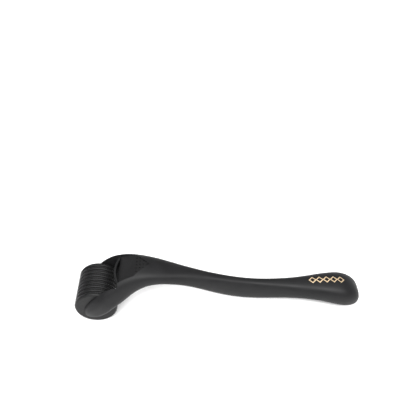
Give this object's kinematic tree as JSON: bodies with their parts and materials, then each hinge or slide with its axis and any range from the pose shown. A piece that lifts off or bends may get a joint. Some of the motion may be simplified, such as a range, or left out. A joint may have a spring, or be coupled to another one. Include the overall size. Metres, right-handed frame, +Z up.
{
  "type": "derma roller",
  "caption": "Hand-held derma roller: a slim curved handle with a two-armed fork that carries a ribbed drum of fine needle discs turning freely on its axle.",
  "frame": {"origin": "on the ground, below the centre of the whole roller's box, as it is put down on its needles and tail", "axes": "+X from the drum to the tail, +Y along the drum's axle, +Z up"},
  "size_m": [0.143, 0.0288, 0.0306],
  "materials": {
    "soft_touch_black": "soft-touch matte coating over moulded plastic",
    "plate_black": "fine-textured matte moulded plastic",
    "drum_black": "satin moulded plastic",
    "needle_steel": "etched stainless steel",
    "gold_trim": "satin gold foil"
  },
  "bodies": {
    "handle": {"handle_upper_shell": "soft_touch_black", "handle_lower_shell": "soft_touch_black", "grip_plate": "plate_black", "drum_guard": "plate_black", "tail_emblem": "gold_trim"},
    "drum": {"drum_core": "drum_black", "end_cap_left": "drum_black", "end_cap_right": "drum_black", "needle_disc_1": "needle_steel", "needle_disc_2": "needle_steel", "needle_disc_3": "needle_steel", "needle_disc_4": "needle_steel", "needle_disc_5": "needle_steel", "needle_disc_6": "needle_steel", "needle_disc_7": "needle_steel", "needle_disc_8": "needle_steel", "needle_disc_9": "needle_steel", "spacer_ring_1": "drum_black", "spacer_ring_2": "drum_black", "spacer_ring_3": "drum_black", "spacer_ring_4": "drum_black", "spacer_ring_5": "drum_black", "spacer_ring_6": "drum_black", "spacer_ring_7": "drum_black", "spacer_ring_8": "drum_black"}
  },
  "joints": [
    {"name": "drum_spin", "type": "hinge", "parent": "handle", "child": "drum", "pos_m": [-0.0609, 0, 0.0106], "axis": [0, 1, 0], "continuous": true}
  ]
}
